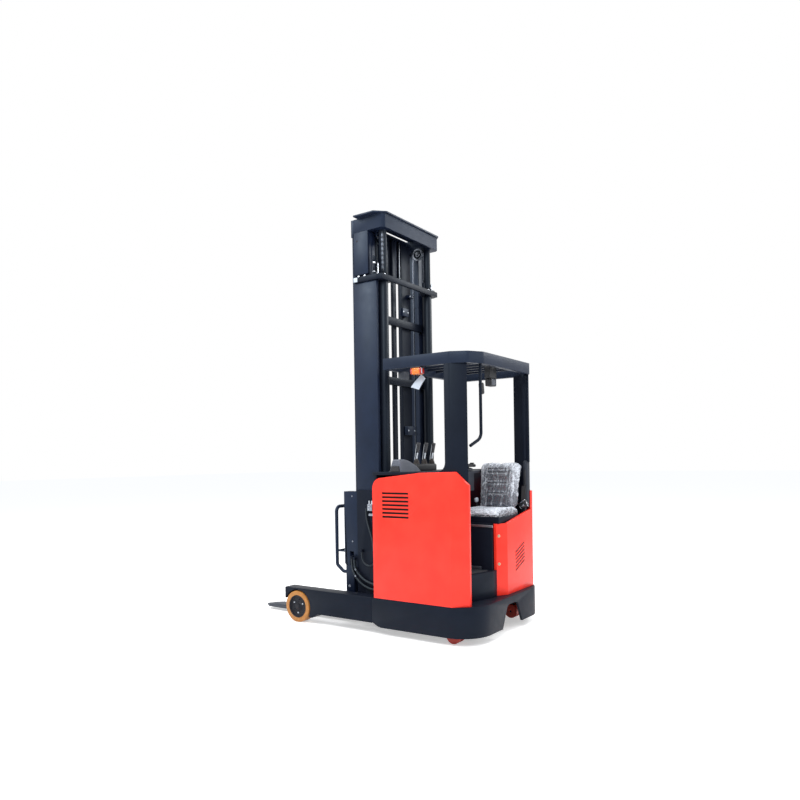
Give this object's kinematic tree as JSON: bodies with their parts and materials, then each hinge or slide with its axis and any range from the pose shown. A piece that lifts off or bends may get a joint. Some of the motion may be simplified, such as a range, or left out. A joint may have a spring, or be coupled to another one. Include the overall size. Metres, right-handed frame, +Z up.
{
  "type": "reach truck",
  "caption": "Side-seated electric reach truck: mast that slides between two wheel arms, telescoping rails, forks with load backrest, cab with overhead guard.",
  "frame": {"origin": "on the floor, under the middle of the truck's length and width with the mast drawn back", "axes": "+X towards the fork tips, +Y to the driver's entry side, +Z up"},
  "size_m": [2.406, 1.27, 3.46],
  "materials": {
    "frame_black": "satin powder-coated black",
    "cover_red": "semi-gloss red",
    "mast_paint": "satin blue-black",
    "fork_steel": "satin black with worn top faces",
    "polished_steel": "ground and chromed",
    "chain_steel": "oiled leaf chain",
    "wheel_hub_dark": "painted cast iron",
    "polyurethane": "cast polyurethane",
    "drive_polyurethane": "dark cast polyurethane",
    "battery_case": "matt enamel",
    "control_plastic": "moulded",
    "hood_plastic": "light grey moulded",
    "seat_cover": "grey cloth under clear film",
    "amber_lens": "amber lens",
    "hose_rubber": "ribbed hydraulic hose"
  },
  "bodies": {
    "chassis": {"base_skirt": "frame_black", "wheel_arm_left": "frame_black", "wheel_arm_right": "frame_black", "side_panel_left": "cover_red", "side_panel_right": "cover_red", "rear_cover": "cover_red", "battery_walls": "frame_black", "battery": "battery_case", "cab_floor": "frame_black", "deck_plate": "frame_black", "deck_hood": "hood_plastic", "lever_bank": "control_plastic", "steering_console": "frame_black", "steering_wheel": "control_plastic", "seat_base": "frame_black", "seat_cushion": "seat_cover", "seat_back": "seat_cover", "belt_pod": "seat_cover", "guard_posts": "frame_black", "guard_roof": "frame_black", "guard_bars": "frame_black", "grab_rail": "mast_paint", "amber_lamp": "amber_lens", "roof_lamps": "control_plastic", "drive_motor": "frame_black", "reach_barrel": "mast_paint"},
    "load_wheel_left": {"load_hub_left": "wheel_hub_dark", "load_tyre_left": "polyurethane"},
    "load_wheel_right": {"load_hub_right": "wheel_hub_dark", "load_tyre_right": "polyurethane"},
    "drive_steer": {"drive_gearbox": "frame_black"},
    "drive_roller": {"drive_wheel": "drive_polyurethane"},
    "balance_swivel_left": {"balance_fork_left": "wheel_hub_dark"},
    "balance_swivel_right": {"balance_fork_right": "wheel_hub_dark"},
    "balance_rollers_left": {"balance_wheels_left": "drive_polyurethane"},
    "balance_rollers_right": {"balance_wheels_right": "drive_polyurethane"},
    "mast_carriage": {"reach_carriage": "mast_paint", "reach_rod": "polished_steel", "outer_rails": "mast_paint", "outer_bow": "mast_paint", "lift_barrels": "mast_paint", "hose_upper": "hose_rubber", "hose_middle": "hose_rubber", "hose_lower": "hose_rubber", "hose_loop": "hose_rubber"},
    "inner_mast": {"inner_rails": "mast_paint", "inner_cap": "mast_paint", "inner_crossbars": "mast_paint", "lift_rods": "polished_steel", "lift_chains": "chain_steel"},
    "fork_carrier": {"fork_carriage": "mast_paint", "carriage_columns": "mast_paint", "forks": "fork_steel", "load_backrest": "mast_paint"}
  },
  "joints": [
    {"name": "load_wheel_left_spin", "type": "hinge", "parent": "chassis", "child": "load_wheel_left", "pos_m": [0.549, 0.591, 0.136], "axis": [0, 1, 0], "continuous": true},
    {"name": "load_wheel_right_spin", "type": "hinge", "parent": "chassis", "child": "load_wheel_right", "pos_m": [0.549, -0.591, 0.136], "axis": [0, 1, 0], "continuous": true},
    {"name": "drive_steering", "type": "hinge", "parent": "chassis", "child": "drive_steer", "pos_m": [-0.901, -0.13, 0.165], "axis": [0, 0, 1], "range_deg": [-90, 90]},
    {"name": "drive_wheel_spin", "type": "hinge", "parent": "drive_steer", "child": "drive_roller", "pos_m": [-0.901, -0.13, 0.165], "axis": [0, 1, 0], "continuous": true},
    {"name": "balance_left_swivel", "type": "hinge", "parent": "chassis", "child": "balance_swivel_left", "pos_m": [-0.941, 0.5, 0.2], "axis": [0, 0, 1], "continuous": true},
    {"name": "balance_right_swivel", "type": "hinge", "parent": "chassis", "child": "balance_swivel_right", "pos_m": [-0.941, -0.5, 0.2], "axis": [0, 0, 1], "continuous": true},
    {"name": "balance_left_spin", "type": "hinge", "parent": "balance_swivel_left", "child": "balance_rollers_left", "pos_m": [-0.965, 0.5, 0.06], "axis": [0, 1, 0], "continuous": true},
    {"name": "balance_right_spin", "type": "hinge", "parent": "balance_swivel_right", "child": "balance_rollers_right", "pos_m": [-0.965, -0.5, 0.06], "axis": [0, 1, 0], "continuous": true},
    {"name": "mast_reach", "type": "slide", "parent": "chassis", "child": "mast_carriage", "axis": [1, 0, 0], "range_m": [0, 0.55]},
    {"name": "mast_lift", "type": "slide", "parent": "mast_carriage", "child": "inner_mast", "axis": [0, 0, 1], "range_m": [0, 2.15]},
    {"name": "fork_lift", "type": "slide", "parent": "inner_mast", "child": "fork_carrier", "axis": [0, 0, 1], "range_m": [0, 2.15]}
  ],
  "couplings": [
    {"joint": "fork_lift", "follows": "mast_lift", "ratio": 1}
  ]
}
